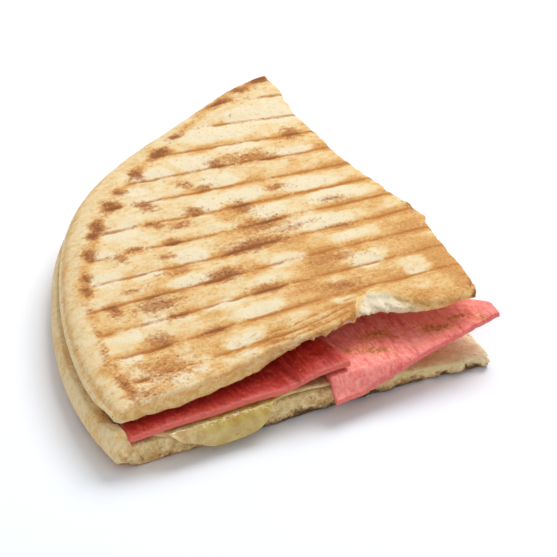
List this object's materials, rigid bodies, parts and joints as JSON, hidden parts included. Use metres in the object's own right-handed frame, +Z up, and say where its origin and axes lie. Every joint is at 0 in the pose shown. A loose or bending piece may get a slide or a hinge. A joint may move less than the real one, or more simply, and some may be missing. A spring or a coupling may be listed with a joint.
{
  "type": "toasted flatbread sandwich quarter",
  "caption": "Quarter of a pressed, grill-marked flatbread toast with salami slices and melted cheese between two halves of bread.",
  "frame": {"origin": "on the surface it lies on, under the middle of the bounding box", "axes": "+Z up through the layers, +Y away from the front cut and along the right cut, +X along the front cut towards the corner where the two cuts meet"},
  "size_m": [0.1142, 0.1256, 0.0234],
  "materials": {
    "upper_bread": "pale toasted flatbread crust with brown grill marks, dry and matte",
    "lower_bread": "soft cut crumb above a toasted, slightly charred underside",
    "melted_cheese": "smooth melted pale yellow cheese with a soft shine",
    "salami": "pinkish red sliced beef salami, slightly greasy, with small toasted specks"
  },
  "bodies": {
    "root": {"bottom_bread": "lower_bread", "cheese": "melted_cheese", "salami_corner": "salami", "salami_front": "salami", "salami_back": "salami", "top_bread": "upper_bread"}
  },
  "joints": []
}
